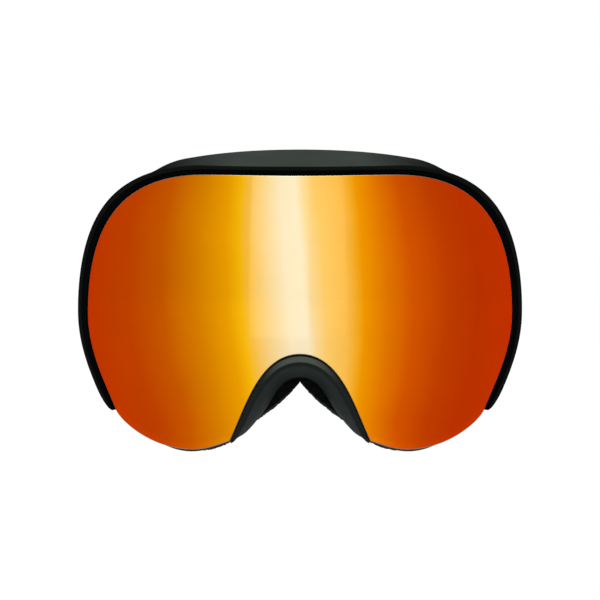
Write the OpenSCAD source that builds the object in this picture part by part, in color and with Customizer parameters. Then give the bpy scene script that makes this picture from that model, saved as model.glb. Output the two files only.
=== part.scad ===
// Ski goggles with a wraparound mirrored lens that lifts off, a three-quarter outer rim,
// a soft inner frame with a nose arch, layered face foam and a strap on hinged outriggers.
// +Z is up, the lens faces -Y, and the origin is the middle of the face opening at the brow.

/* [Lens] */
// Width of the outer lens across its widest place
lens_w = 167; // [160:1:170]
// Radius of the lens seen from above
lens_bend = 100; // [98:1:110]
// Radius of the lens seen from the side
lens_roll = 320; // [250:10:500]
// Thickness of the outer lens
lens_t = 1.6; // [1.2:0.1:1.8]
// Thickness of the inner lens
inner_lens_t = 1; // [0.8:0.1:1.2]

/* [Frame] */
// Distance from the brow to the front of the lens
depth = 48; // [44:1:52]
// Width of the rim's front band at the sides
rim_side = 3.4; // [3.2:0.1:3.7]
// Width of the rim's front band along the top
rim_top = 3.4; // [3:0.1:3.7]
// Extra width of that band at the upper corners
rim_corner = 1; // [0:0.1:1.2]
// Width of the inner frame's flange that carries the foam
flange_w = 11; // [9:0.5:12]

/* [Foam] */
// Thickness of the firm foam on the flange
base_t = 5.5; // [4:0.5:6]
// Thickness of the soft foam
middle_t = 6.5; // [5:0.5:7]
// Thickness of the fleece against the face
fleece_t = 1.8; // [1.5:0.1:2]

/* [Strap] */
// Width of the webbing
strap_w = 40; // [36:1:42]
// Thickness of the webbing
strap_t = 1.6; // [1.2:0.1:1.6]
// How far behind the brow the strap reaches
strap_reach = 190; // [180:1:200]
// Radius of the outrigger's hinge pin
pin_r = 1.2; // [1:0.1:1.3]

/* [Hidden] */
$fn = 48;
eps = 0.15;                     // gap left between glued hard pieces
foam_gap = 0.35;                // and between layers of foam

black = [0.09, 0.10, 0.10];
soft_black = [0.14, 0.16, 0.16];
foam_black = [0.05, 0.05, 0.055];

// ---- Rails: outlines of the goggles seen from the front, right half, as cubic curves ----
// Every rail has the same six stretches: brow, temple corner, side, cheek corner, cheek and nose.
steps = [5, 14, 8, 9, 4, 8];
side_x = lens_w / 2;

lens_edge = [
    [[0, 48.4], [16, 48.4], [32, 49], [39.3, 48.9]],
    [[39.3, 48.9], [70, 48.4], [side_x, 30], [side_x, -4.9]],
    [[side_x, -4.9], [side_x, -19.7], [76.8, -31.9], [72.5, -42.6]],
    [[72.5, -42.6], [70.5, -47.6], [58, -58.3], [42, -58.3]],
    [[42, -58.3], [36, -58.3], [31.5, -56.2], [27.3, -54.9]],
    [[27.3, -54.9], [21.5, -43], [16, -21.2], [0, -21.2]]
];
lens_core = [
    [[0, 36], [13, 36], [27, 36], [39, 36]],
    [[39, 36], [57, 36], [69.8, 18], [69.8, -4]],
    [[69.8, -4], [69.8, -15], [66, -25], [61, -34]],
    [[61, -34], [57, -41], [51, -45], [44, -45]],
    [[44, -45], [41, -45], [38, -44.4], [36, -42]],
    [[36, -42], [27, -31], [20, -8.5], [0, -8.5]]
];
face_edge = [
    [[0, 57.9], [14, 57.9], [28, 57.1], [41, 54.7]],
    [[41, 54.7], [58.5, 52.3], [77.4, 31], [77.4, -3]],
    [[77.4, -3], [77.4, -18], [73, -31], [67, -42]],
    [[67, -42], [61.5, -52], [52, -59.3], [42, -59.3]],
    [[42, -59.3], [36, -59.3], [31, -56.7], [27, -54.1]],
    [[27, -54.1], [16, -48.5], [10.5, -29.7], [0, -29.7]]
];
face_core = [
    [[0, 43], [13, 43], [25, 43], [38, 41.8]],
    [[38, 41.8], [54, 39.8], [62, 20], [62, -2]],
    [[62, -2], [62, -13], [60, -24], [55, -32]],
    [[55, -32], [51.5, -38], [49, -42], [44, -42.5]],
    [[44, -42.5], [41, -42.8], [38, -42], [35.5, -39.5]],
    [[35.5, -39.5], [27, -31], [20, -14.5], [0, -14.5]]
];
// Outer edge of the foam: it closes in round the nose to a sharp peak.
foam_edge = [
    face_edge[0], face_edge[1], face_edge[2], face_edge[3], face_edge[4],
    [[27, -54.1], [20, -46.5], [11.8, -45.8], [0, -31.8]]
];

function bezier(s, u) =
    pow(1 - u, 3) * s[0] + 3 * pow(1 - u, 2) * u * s[1] + 3 * (1 - u) * u * u * s[2] + pow(u, 3) * s[3];
function half_rail(r) =
    [for (i = [0 : 5]) for (k = [0 : steps[i] - 1]) bezier(r[i], k / steps[i]), r[5][3]];
function mirrored(h) =
    concat(h, [for (i = [len(h) - 2 : -1 : 1]) [-h[i][0], h[i][1]]]);

lens_rail = mirrored(half_rail(lens_edge));
core_rail = mirrored(half_rail(lens_core));
face_rail = mirrored(half_rail(face_edge));
foam_rail = mirrored(half_rail(foam_edge));
inner_rail = mirrored(half_rail(face_core));
count = len(lens_rail);
nose_i = count / 2;             // station at the top of the nose arch
foot_i = nose_i - steps[5];     // station at the lens's lowest inner corner
tail_i = 27;                    // station where the rim runs out on the cheek

function at(rail, i) = let (k = floor(i))
    mix(rail[(k + count) % count], rail[(k + 1 + count) % count], i - k);
function step_out(a, b, w) = a + w * (a - b) / norm(a - b);
function mix(a, b, f) = a * (1 - f) + b * f;
function ramp(v, a, b) = let (f = min(1, max(0, (v - a) / (b - a)))) f * f * (3 - 2 * f);

// ---- Surfaces ----
face_axis_y = 95;               // centre of the round that the face makes, seen from above
foam_t = base_t + middle_t + fleece_t + 3 * foam_gap;
flange_r = face_axis_y + foam_t;
nose_rise = 16;                 // how far the nose stands forward of the face's round
nose_half = 13;

// Point d millimetres behind the lens's front surface, at front-view point p.
function lens_normal(p) = let (
    a = sqrt(lens_roll * lens_roll - p[1] * p[1]),
    rho = lens_bend - lens_roll + a,
    depth_y = sqrt(rho * rho - p[0] * p[0])
) [p[0] / rho * a / lens_roll, -depth_y / rho * a / lens_roll, p[1] / lens_roll];
function lens_point(p, d) = let (
    a = sqrt(lens_roll * lens_roll - p[1] * p[1]),
    rho = lens_bend - lens_roll + a
) [p[0], lens_bend - depth - sqrt(rho * rho - p[0] * p[0]), p[1]] - d * lens_normal(p);

// Point e millimetres towards the face from the flange, at front-view point p.
function nose_lift(p) =
    nose_rise * exp(-pow(p[0] / nose_half, 2)) * ramp(-p[1], 8, 40);
function face_point(p, e) = let (
    y = sqrt(flange_r * flange_r - p[0] * p[0])
) [p[0] * (1 - e / flange_r), face_axis_y - y * (1 - e / flange_r) - nose_lift(p), p[1]];

// The same by station i: w is the distance outwards from the rail.
function on_lens(i, w, d) = lens_point(step_out(at(lens_rail, i), at(core_rail, i), w), d);
function on_face(i, w, e) = face_point(step_out(at(face_rail, i), at(inner_rail, i), w), e);
function on_foam(i, w, e) = face_point(step_out(at(foam_rail, i), at(inner_rail, i), w), e);

// Solid through a row of sections. A section runs back along its outer side and forward along
// its inner side, and the row runs left to right over the brow. A ring closes on itself.
module skin(s, ring = false) {
    n = len(s);
    m = len(s[0]);
    half = m / 2;
    sides = [
        for (i = [0 : (ring ? n : n - 1) - 1]) for (j = [0 : m - 1])
        let (a = i * m + j, b = i * m + (j + 1) % m, k = ((i + 1) % n) * m)
        each [[a, b, k + (j + 1) % m], [a, k + (j + 1) % m, k + j]]
    ];
    last = (n - 1) * m;
    caps = ring ? [] : [
        for (j = [0 : half - 2]) let (a = j, b = j + 1, c = m - 2 - j, d = m - 1 - j)
        each [[a, d, c], [a, c, b], [last + a, last + c, last + d], [last + a, last + b, last + c]]
    ];
    polyhedron([for (a = s) for (p = a) p], concat(sides, caps), convexity = 8);
}

// Child stands on the lens's inside at station i: +Z points back along the lens's normal.
module on_lens_at(i, w, d) {
    p = step_out(at(lens_rail, i), at(core_rail, i), w);
    n = -lens_normal(p);
    translate(lens_point(p, d))
        rotate([0, acos(n[2]), atan2(n[1], n[0])])
            children();
}

module both_sides() {
    children();
    mirror([1, 0, 0]) children();
}

// ---- Lens ----
carrier_in = -5.5;              // the carrier's inner and outer edges, from the lens's edge
carrier_out = -1.4;
carrier_back = 4.2;
spacer_in = -9;
spacer_out = -6;
spacer_back = lens_t + eps + 4;
sheet_rows = 8;

// Curved sheet with the lens's outline moved outwards by w, between depths d0 and d1.
module lens_sheet(w, d0, d1) {
    edge = [for (i = [0 : nose_i]) step_out(lens_rail[i], core_rail[i], w)];
    wide_i = steps[0] + steps[1];
    top = [for (i = [0 : wide_i]) edge[i]];
    low = [for (i = [nose_i : -1 : wide_i]) edge[i]];
    wide_x = edge[wide_i][0] - 0.1;
    xs = [for (p = low) min(p[0], wide_x)];
    columns = concat([for (i = [len(xs) - 1 : -1 : 1]) -xs[i]], xs);
    function row(x, d, down) = [
        for (j = [0 : sheet_rows])
        let (f = down ? j / sheet_rows : 1 - j / sheet_rows)
        lens_point([x, mix(lookup(abs(x), top), lookup(abs(x), low), f)], d)
    ];
    skin([for (x = columns) concat(row(x, d1, true), row(x, d0, false))]);
}

module outer_lens() {
    color([0.95, 0.42, 0.05]) lens_sheet(0, 0, lens_t);
}

module inner_lens() {
    color([0.85, 0.55, 0.35, 0.5])
        lens_sheet(spacer_out, spacer_back + eps, spacer_back + eps + inner_lens_t);
}

module lens_spacer() {
    color(foam_black)
        skin([
            for (i = [0 : count - 1]) [
                on_lens(i, spacer_out, lens_t + eps), on_lens(i, spacer_out, spacer_back),
                on_lens(i, spacer_in, spacer_back), on_lens(i, spacer_in, lens_t + eps)
            ]
        ], ring = true);
}

magnet_r = 1.9;
magnet_t = 1.4;
magnet_stations = [4, 13, 22, 33];
magnet_w = (carrier_in + carrier_out) / 2;

module magnets(d, r, t) {
    both_sides()
        for (i = magnet_stations) on_lens_at(i, magnet_w, d) cylinder(r = r, h = t);
}

module lens_carrier() {
    color(black)
        difference() {
            skin([
                for (i = [0 : count - 1]) [
                    on_lens(i, carrier_out, lens_t + eps), on_lens(i, carrier_out, carrier_back),
                    on_lens(i, carrier_in, carrier_back), on_lens(i, carrier_in, lens_t + eps)
                ]
            ], ring = true);
            magnets(carrier_back - magnet_t, magnet_r + 0.05, magnet_t + 2);
        }
}

module lens_magnets() {
    color("silver") magnets(carrier_back - magnet_t, magnet_r, magnet_t - 0.05);
}

across = [3, 6, 9];             // where the flange and foam bend between their edges

// ---- Frame ----
land = carrier_back + 0.3;      // depth of the seat that the lens carrier rests on
land_t = 2.4;
wall = 2;

// Vent slot at station i, at share f of the way from the lens's seat to the flange.
module slot_cut(i, f, long, deep) {
    p = mix(on_lens(i, carrier_out, land), on_face(i, -1, -5), f);
    out = at(face_rail, i) - at(inner_rail, i);
    translate(p)
        rotate([0, -atan2(out[1], out[0]) + 90, 0])
            cube([long, deep, 12], center = true);
}

module inner_frame() {
    function outside(i) = [on_lens(i, carrier_out - 0.2, land + 3), on_face(i, -1, -5)];
    function inside(i) = [on_lens(i, carrier_out - wall, land + land_t + 1.6), on_face(i, -1 - wall, -4.6)];
    color(soft_black)
        difference() {
            skin([
                for (i = [0 : count - 1]) let (a = outside(i), b = inside(i)) [
                    on_lens(i, carrier_out, land), a[0], mix(a[0], a[1], 0.5), a[1],
                    on_face(i, 0, -2.2), on_face(i, 0, 0),
                    for (w = across) on_face(i, -w, 0),
                    on_face(i, -flange_w, 0), on_face(i, -flange_w, -2),
                    b[1], mix(b[0], b[1], 0.5), b[0],
                    on_lens(i, carrier_in, land + land_t), on_lens(i, carrier_in, land)
                ]
            ], ring = true);
            magnets(land - 0.05, magnet_r + 0.05, magnet_t + 0.05);
            both_sides() {
                for (i = [29, 31, 33, 35]) slot_cut(i, 0.55, 4.6, 6);
                for (i = [1, 3, 5]) slot_cut(i, 0.62, 11, 5);
            }
        }
}

module frame_magnets() {
    color("silver") magnets(land + 0.05, magnet_r, magnet_t - 0.1);
}

// Open-cell foam glued inside the wall from station a to b, between depth shares f0 and f1.
module vent_foam(a, b, f0, f1) {
    function inside(i, f, w) = mix(
        on_lens(i, carrier_out - wall - 0.5 + w, land + land_t + 1.6),
        on_face(i, -1 - wall - 0.5 + w, -4.6), f);
    color(foam_black)
        skin([
            for (i = [a : b]) [
                inside(i, f0, 0), inside(i, f1, 0), inside(i, f1, -2.2), inside(i, f0, -2.2)
            ]
        ]);
}

module brow_vent_foam() {
    vent_foam(-7, 7, 0.35, 0.85);
}

module cheek_vent_foam_right() {
    vent_foam(27, 37, 0.2, 0.85);
}

module cheek_vent_foam_left() {
    mirror([1, 0, 0]) cheek_vent_foam_right();
}

lip_w = 0.35;                   // gap between the lens's edge and the rim
// The rim's band narrows to nothing round its end on the cheek.
tail_len = 2.4;
function tail(i) = sqrt(max(0.03, 1 - pow(max(0, abs(i) - tail_i + tail_len) / tail_len, 2)));
function rim_w(i) = let (j = abs(i)) lip_w + tail(i) * (
    mix(rim_top, rim_side, ramp(j, 2, 8)) + rim_corner * exp(-pow((j - 11.5) / 5, 2))
    - 0.2 * ramp(j, 18, tail_i) - lip_w);
rim_half = concat([for (i = [0 : tail_i - 2]) i], [tail_i - 1.4, tail_i - 1, tail_i - 0.6, tail_i - 0.3,
    tail_i - 0.1, tail_i]);
rim_stations = concat([for (k = [len(rim_half) - 1 : -1 : 1]) -rim_half[k]], rim_half);
// How far over the flange the rim's skirt stands at its rear edge.
function skirt_w(i) = mix(0.6, 0.2, ramp(abs(i), 6, 14)) - 0.5 * (1 - tail(i));
rear_e = -6;                    // the skirt ends this far in front of the flange

module outer_rim() {
    function rear(i, w) = mix(on_lens(i, w + 0.3, land + 1), on_face(i, w, rear_e), mix(0.45, 1, tail(i)));
    function lip(i, f) = mix(lip_w, rim_w(i), f);
    color(black)
        difference() {
            skin([
                for (i = rim_stations) let (s = skirt_w(i)) [
                    on_lens(i, lip_w, 0.15), on_lens(i, lip(i, 0.35), -0.2),
                    on_lens(i, lip(i, 0.5), -0.6), on_lens(i, lip(i, 0.9), -0.7), on_lens(i, rim_w(i), 0),
                    mix(on_lens(i, rim_w(i), 1.8), rear(i, s + 0.9), 0.5), rear(i, s + 0.4),
                    rear(i, s - 0.9), mix(on_lens(i, -0.75, land + 1), rear(i, s - 0.9), 0.5),
                    on_lens(i, -0.75, land + 1), on_lens(i, -0.65, lens_t + 0.5),
                    on_lens(i, 0.25, lens_t + 0.4), on_lens(i, lip_w, lens_t - 0.2), on_lens(i, lip_w, 0.8)
                ]
            ]);
            both_sides() bracket_notch();
        }
}

// Soft roll over the nose arch, from one foot of the lens to the other.
module nose_bridge() {
    color([0.17, 0.19, 0.19])
        skin([
            for (i = [foot_i : count - foot_i]) let (
                far = abs(i - nose_i) / steps[5],
                full = sqrt(max(0.03, 1 - pow(far, 4))),
                bulge = 1.6 * ramp(far, 0.2, 0.55) * (1 - ramp(far, 0.8, 1))
            ) [
                on_lens(i, 0.4, 0.4), on_lens(i, 0.4 + 0.4 * full, -0.3 * full),
                on_lens(i, 0.4 + 2.4 * full, -2.3 * full), on_lens(i, 0.4 + 3.9 * full, -2.1 * full),
                mix(on_lens(i, 4.2 * full + bulge, 1), on_face(i, 1.1 * full + bulge, -4), 0.5),
                on_face(i, 0.1 + 0.4 * full + bulge, -2.8),
                on_face(i, -0.1, -3.1),
                on_face(i, -0.15, -5),
                mix(on_lens(i, -0.6, land + 3), on_face(i, -0.15, -5), 0.5),
                on_lens(i, -0.6, land + 3), on_lens(i, -0.6, lens_t + 1), on_lens(i, 0.3, lens_t + 0.4)
            ]
        ]);
}

// ---- Foam ----
// Ring of foam from depth e0 to e1, set in from the foam's edge by o0 and o1 on those faces.
module foam_ring(e0, e1, inner, o0, o1) {
    skin([
        for (i = [0 : count - 1]) [
            on_foam(i, o0, e0), on_foam(i, (o0 + o1) / 2 + 0.2, (e0 + e1) / 2), on_foam(i, o1, e1),
            for (w = across) on_foam(i, -w, e1),
            on_foam(i, -inner, e1), on_foam(i, -inner, e0),
            for (k = [len(across) - 1 : -1 : 0]) on_foam(i, -across[k], e0)
        ]
    ], ring = true);
}

module foam_base() {
    color(foam_black) foam_ring(foam_gap, foam_gap + base_t, flange_w, -0.6, -0.4);
}

module foam_middle() {
    color([0.08, 0.08, 0.085])
        foam_ring(2 * foam_gap + base_t, 2 * foam_gap + base_t + middle_t, flange_w + 1, -0.5, -0.7);
}

module fleece_lining() {
    e = 3 * foam_gap + base_t + middle_t;
    color([0.06, 0.06, 0.07]) foam_ring(e, e + fleece_t, flange_w + 1.6, -0.7, -1.6);
}

// ---- Hinges and outriggers, drawn on the right ----
hinge_x = 81.8;
hinge_y = 20;
ear_r = 2.8;
ear_z = 9.3;                    // the outrigger's knuckle lies between the ears
ear_t = 3.6;
plate_x = hinge_x - 0.4;        // the bracket's plate lies in a notch in the rim
plate_t = 2.2;
plate_y = 6;
arm_t = 2.4;
bar_r = 1.4;
bar_x = 77.6;                   // the arm steps inwards, so the strap hugs the head
bar_y = 48;
slot_y = 40;                  // front of the slot that the webbing passes through
slot_z = strap_w / 2 + 0.6;
arm_z = slot_z + 2.8;
knuckle_z = ear_z - 0.25;
rivet_r = 1.1;
rivet_y = 9.5;
rivet_z = 7;

module hinge_bracket_right() {
    color(black)
        difference() {
            union() {
                translate([plate_x, plate_y, -ear_z - ear_t]) cube([plate_t, 9, 2 * (ear_z + ear_t)]);
                for (z = [-ear_z - ear_t, ear_z]) {
                    translate([hinge_x, hinge_y, z]) cylinder(r = ear_r, h = ear_t);
                    translate([plate_x, plate_y + 5, z]) cube([plate_t, hinge_y - plate_y - 5, ear_t]);
                }
            }
            translate([hinge_x, hinge_y, -20]) cylinder(r = pin_r, h = 40);
            rivet_holes(0.05);
        }
}

// Room in the rim for the bracket's plate, open to the outside and the rear.
module bracket_notch() {
    translate([plate_x - eps, plate_y - eps, -ear_z - ear_t - eps])
        cube([20, 20, 2 * (ear_z + ear_t + eps)]);
    rivet_holes(0.05);
}

module rivet_holes(play) {
    for (z = [-rivet_z, rivet_z])
        translate([hinge_x - 6, rivet_y, z]) rotate([0, 90, 0]) cylinder(r = rivet_r + play, h = 12);
}

module hinge_pin_right() {
    color("silver")
        translate([hinge_x, hinge_y, -ear_z - ear_t + 0.3])
            cylinder(r = pin_r, h = 2 * (ear_z + ear_t) - 0.6);
}

module bracket_rivets() {
    shank = plate_x + plate_t + 0.05 - 80;
    color("silver")
        both_sides()
            for (z = [-rivet_z, rivet_z])
                translate([80, rivet_y, z]) rotate([0, 90, 0]) {
                    cylinder(r = rivet_r, h = shank);
                    translate([0, 0, shank]) cylinder(r1 = 2.1, r2 = 1.5, h = 0.7);
                }
}

// The arm from the side: it widens from the knuckle to the width of the strap's bar.
module arm_side() {
    polygon([
        [hinge_y, -knuckle_z], [hinge_y + 4, -knuckle_z], [slot_y - 3.5, -arm_z],
        [bar_y + bar_r, -arm_z], [bar_y + bar_r, arm_z], [slot_y - 3.5, arm_z],
        [hinge_y + 4, knuckle_z], [hinge_y, knuckle_z]
    ]);
}

// The arm from above: it steps inwards between the knuckle and the slot.
module arm_plan() {
    h = arm_t / 2;
    polygon([
        [hinge_x + h, hinge_y], [hinge_x + h, hinge_y + 4], [bar_x + h, slot_y - 4], [bar_x + h, bar_y],
        [bar_x - h, bar_y], [bar_x - h, slot_y - 5], [hinge_x - h, hinge_y + 3], [hinge_x - h, hinge_y]
    ]);
}

module outrigger_right() {
    color(black)
        difference() {
            union() {
                translate([hinge_x, hinge_y, -knuckle_z]) cylinder(r = ear_r - 0.1, h = 2 * knuckle_z);
                intersection() {
                    translate([60, 0, 0]) rotate([90, 0, 90]) linear_extrude(40) arm_side();
                    translate([0, 0, -40]) linear_extrude(80) arm_plan();
                }
                translate([bar_x, bar_y, -arm_z]) cylinder(r = bar_r, h = 2 * arm_z);
            }
            translate([hinge_x, hinge_y, -20]) cylinder(r = pin_r + 0.05, h = 40);
            difference() {
                translate([bar_x - 5, slot_y, -slot_z]) cube([10, 20, 2 * slot_z]);
                translate([bar_x, bar_y, -arm_z]) cylinder(r = bar_r, h = 2 * arm_z);
            }
        }
}

// ---- Strap ----
// Seen from above the webbing leaves the outrigger straight back, then rounds the head on an ellipse.
fold_in = bar_r + 0.2;
fold_out = fold_in + strap_t;
strap_mid = bar_x + fold_in + strap_t / 2;
bend_y = 100;                   // the webbing is straight in front of this
join_a = 40;                    // the rear stretch starts at this angle of the ellipse

// Outline on the ellipse, offset outwards by o, at angle a from the right.
function on_ellipse(a, o) = let (
    rx = strap_mid,
    ry = strap_reach - bend_y - strap_t,
    n = [cos(a) * ry, sin(a) * rx]
) [rx * cos(a), bend_y + ry * sin(a)] + o * n / norm(n);

module band(points, w) {
    translate([0, 0, -w / 2]) linear_extrude(w) polygon(points);
}

module strap_front_right() {
    color([0.1, 0.1, 0.11]) {
        o = strap_t / 2;
        band(concat(
            [[strap_mid - o, bar_y], [strap_mid + o, bar_y]],
            [for (a = [0 : 5 : join_a]) on_ellipse(a, o)],
            [for (a = [join_a : -5 : 0]) on_ellipse(a, -o)]
        ), strap_w);
        translate([0, 0, -strap_w / 2])
            linear_extrude(strap_w)
                intersection() {
                    translate([bar_x, bar_y])
                        difference() {
                            circle(fold_out);
                            circle(fold_in);
                        }
                    translate([bar_x - 5, bar_y - 10]) square([10, 10]);
                }
    }
}

rear_parts = 28;
function rear_angle(k) = join_a + 0.1 + (180 - 2 * join_a - 0.2) * k / rear_parts;

module rear_band(k0, out, in, w) {
    band(concat(
        [for (k = [k0 : rear_parts - k0]) on_ellipse(rear_angle(k), out)],
        [for (k = [rear_parts - k0 : -1 : k0]) on_ellipse(rear_angle(k), in)]
    ), w);
}

module strap_rear() {
    color([0.1, 0.1, 0.11]) rear_band(0, strap_t / 2, -strap_t / 2, strap_w);
}

grip_rows = 3;
grip_w = 3;
grip_pitch = 9;

module silicone_grip() {
    inner = -strap_t / 2 - 0.02;
    color([0.2, 0.2, 0.21])
        for (k = [0 : grip_rows - 1])
            translate([0, 0, (k - (grip_rows - 1) / 2) * grip_pitch])
                rear_band(3, inner, inner - 0.5, grip_w);
}

slider_y = 72;
slider_half = 8;
centre_bar_r = 1.1;
centre_x = strap_mid - strap_t / 2 - eps - strap_t - eps - centre_bar_r;
rail_in = slot_z - 0.2;         // the slider's end rails, just past the webbing's edges
rail_out = rail_in + 2.4;
slider_out = strap_mid + strap_t / 2 + 1.9;

module slider_right() {
    color(black)
        translate([0, slider_y, 0]) {
            for (z = [-rail_out, rail_in])
                translate([centre_x - 1.6, -slider_half, z])
                    cube([slider_out - centre_x + 1.6, 2 * slider_half, rail_out - rail_in]);
            translate([centre_x, 0, -rail_out]) cylinder(r = centre_bar_r, h = 2 * rail_out);
            for (y = [-slider_half, slider_half - 3])
                translate([slider_out - 1.6, y, -rail_out]) cube([1.6, 3, 2 * rail_out]);
        }
}

// The webbing's end comes back from the outrigger and is sewn round the slider's centre bar.
module strap_tail_right() {
    loop_in = centre_bar_r + eps;
    color([0.1, 0.1, 0.11])
        translate([0, 0, -strap_w / 2])
            linear_extrude(strap_w)
                difference() {
                    union() {
                        translate([bar_x - fold_out, bar_y + 0.05])
                            square([strap_t, slider_y - bar_y - 0.05]);
                        translate([centre_x, slider_y]) circle(loop_in + strap_t - 0.1);
                    }
                    translate([centre_x, slider_y]) circle(loop_in);
                }
}

module hinge_bracket_left() { mirror([1, 0, 0]) hinge_bracket_right(); }
module hinge_pin_left() { mirror([1, 0, 0]) hinge_pin_right(); }
module outrigger_left() { mirror([1, 0, 0]) outrigger_right(); }
module strap_front_left() { mirror([1, 0, 0]) strap_front_right(); }
module strap_tail_left() { mirror([1, 0, 0]) strap_tail_right(); }
module slider_left() { mirror([1, 0, 0]) slider_right(); }

outer_lens();
inner_lens();
lens_spacer();
lens_carrier();
lens_magnets();
inner_frame();
outer_rim();
nose_bridge();
frame_magnets();
brow_vent_foam();
cheek_vent_foam_left();
cheek_vent_foam_right();
foam_base();
foam_middle();
fleece_lining();
hinge_bracket_left();
hinge_bracket_right();
bracket_rivets();
hinge_pin_left();
hinge_pin_right();
outrigger_left();
outrigger_right();
strap_front_left();
strap_front_right();
strap_tail_left();
strap_tail_right();
strap_rear();
silicone_grip();
slider_left();
slider_right();
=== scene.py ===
import math

import bmesh
import bpy
import numpy as np
from mathutils import Matrix, Vector, noise


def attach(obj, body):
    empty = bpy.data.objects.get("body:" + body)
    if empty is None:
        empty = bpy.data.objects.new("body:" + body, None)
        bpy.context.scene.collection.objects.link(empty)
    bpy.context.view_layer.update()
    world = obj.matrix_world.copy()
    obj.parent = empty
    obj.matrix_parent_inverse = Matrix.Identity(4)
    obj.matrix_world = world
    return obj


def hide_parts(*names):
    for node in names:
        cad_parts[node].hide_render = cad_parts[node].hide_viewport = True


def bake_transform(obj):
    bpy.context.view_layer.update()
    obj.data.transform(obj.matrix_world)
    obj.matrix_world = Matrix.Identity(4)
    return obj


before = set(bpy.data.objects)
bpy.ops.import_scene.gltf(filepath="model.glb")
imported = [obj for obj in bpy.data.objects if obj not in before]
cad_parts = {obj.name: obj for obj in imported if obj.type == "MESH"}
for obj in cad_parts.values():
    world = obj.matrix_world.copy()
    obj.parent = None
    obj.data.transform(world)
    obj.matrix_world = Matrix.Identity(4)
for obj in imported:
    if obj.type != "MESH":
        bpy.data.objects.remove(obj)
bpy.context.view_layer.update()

MM = 0.001
CAMERA_FRAME = 0.234            # metres that the picture covers across, at the object
CAMERA_AWAY = 4.0
FRAME_PLANE = 0.025             # metres in front of the origin where CAMERA_FRAME is measured
SENSOR = 36                     # millimetres
FLOOR_Z = -0.165

# ---- The goggles' shape, in millimetres and with the CAD model's dimensions ----
LENS_BEND, LENS_ROLL, DEPTH = 100.0, 320.0, 48.0
LENS_T, INNER_T = 1.6, 1.0
RIM_SIDE, RIM_TOP, RIM_CORNER, LIP_W = 3.4, 3.4, 1.0, 0.35
FLANGE_W, WALL = 11.0, 2.0
BASE_T, MIDDLE_T, FLEECE_T, FOAM_GAP = 5.5, 6.5, 1.8, 0.35
FACE_AXIS_Y = 95.0
FLANGE_R = FACE_AXIS_Y + BASE_T + MIDDLE_T + FLEECE_T + 3 * FOAM_GAP
NOSE_RISE, NOSE_HALF = 16.0, 13.0
GLUE = 0.15
CARRIER_IN, CARRIER_OUT, CARRIER_BACK = -5.5, -1.4, 4.2
SPACER_IN, SPACER_OUT, SPACER_BACK = -9.0, -6.0, LENS_T + GLUE + 4
LAND, LAND_T = CARRIER_BACK + 0.3, 2.4
REAR_E = -6.0
ACROSS = (3, 6, 9)

# Outlines seen from the front, right half, as cubic curves. Each runs brow, temple corner,
# side, cheek corner, cheek, nose, and STEPS stations lie on each curve.
STEPS = (5, 14, 8, 9, 4, 8)
FINE = 8                        # rail points to a station
COARSE = 4                      # sections to a station on hard pieces
HALF = sum(STEPS)
NOSE, TAIL = HALF, 27
FOOT = HALF - STEPS[-1]

LENS_EDGE = (
    ((0, 48.4), (16, 48.4), (32, 49.0), (39.3, 48.9)),
    ((39.3, 48.9), (70, 48.4), (83.5, 30), (83.5, -4.9)),
    ((83.5, -4.9), (83.5, -19.7), (76.8, -31.9), (72.5, -42.6)),
    ((72.5, -42.6), (70.5, -47.6), (58, -58.3), (42, -58.3)),
    ((42, -58.3), (36, -58.3), (31.5, -56.2), (27.3, -54.9)),
    ((27.3, -54.9), (21.5, -43), (16, -21.2), (0, -21.2)),
)
LENS_CORE = (
    ((0, 36), (13, 36), (27, 36), (39, 36)),
    ((39, 36), (57, 36), (69.8, 18), (69.8, -4)),
    ((69.8, -4), (69.8, -15), (66, -25), (61, -34)),
    ((61, -34), (57, -41), (51, -45), (44, -45)),
    ((44, -45), (41, -45), (38, -44.4), (36, -42)),
    ((36, -42), (27, -31), (20, -8.5), (0, -8.5)),
)
FACE_EDGE = (
    ((0, 57.9), (14, 57.9), (28, 57.1), (41, 54.7)),
    ((41, 54.7), (58.5, 52.3), (77.4, 31), (77.4, -3)),
    ((77.4, -3), (77.4, -18), (73, -31), (67, -42)),
    ((67, -42), (61.5, -52), (52, -59.3), (42, -59.3)),
    ((42, -59.3), (36, -59.3), (31, -56.7), (27, -54.1)),
    ((27, -54.1), (16, -48.5), (10.5, -29.7), (0, -29.7)),
)
FACE_CORE = (
    ((0, 43), (13, 43), (25, 43), (38, 41.8)),
    ((38, 41.8), (54, 39.8), (62, 20), (62, -2)),
    ((62, -2), (62, -13), (60, -24), (55, -32)),
    ((55, -32), (51.5, -38), (49, -42), (44, -42.5)),
    ((44, -42.5), (41, -42.8), (38, -42), (35.5, -39.5)),
    ((35.5, -39.5), (27, -31), (20, -14.5), (0, -14.5)),
)
FOAM_EDGE = FACE_EDGE[:5] + (((27, -54.1), (20, -46.5), (11.8, -45.8), (0, -32.2)),)


def rail(curves):
    """Points of an outline, FINE to a station, clockwise from the middle of the brow."""
    half = []
    for curve, steps in zip(curves, STEPS):
        c = np.array(curve, float)
        for k in range(steps * FINE):
            u = k / (steps * FINE)
            weights = (1 - u) ** 3, 3 * (1 - u) ** 2 * u, 3 * (1 - u) * u * u, u**3
            half.append(weights @ c)
    half.append(np.array(curves[-1][3], float))
    left = [p * (-1, 1) for p in half[-2:0:-1]]
    return np.array(half + left)


def outward(edge, core):
    """Unit steps outwards from an inner outline to an outer one."""
    step = edge - core
    return step / np.linalg.norm(step, axis=1, keepdims=True)


RAILS = {"lens": rail(LENS_EDGE), "face": rail(FACE_EDGE), "foam": rail(FOAM_EDGE)}
OUT = {
    "lens": outward(RAILS["lens"], rail(LENS_CORE)),
    "face": outward(RAILS["face"], rail(FACE_CORE)),
    "foam": outward(RAILS["foam"], rail(FACE_CORE)),
}


def stations(first, last, parts=COARSE):
    return np.arange(first * parts, last * parts + 1) / parts


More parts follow.
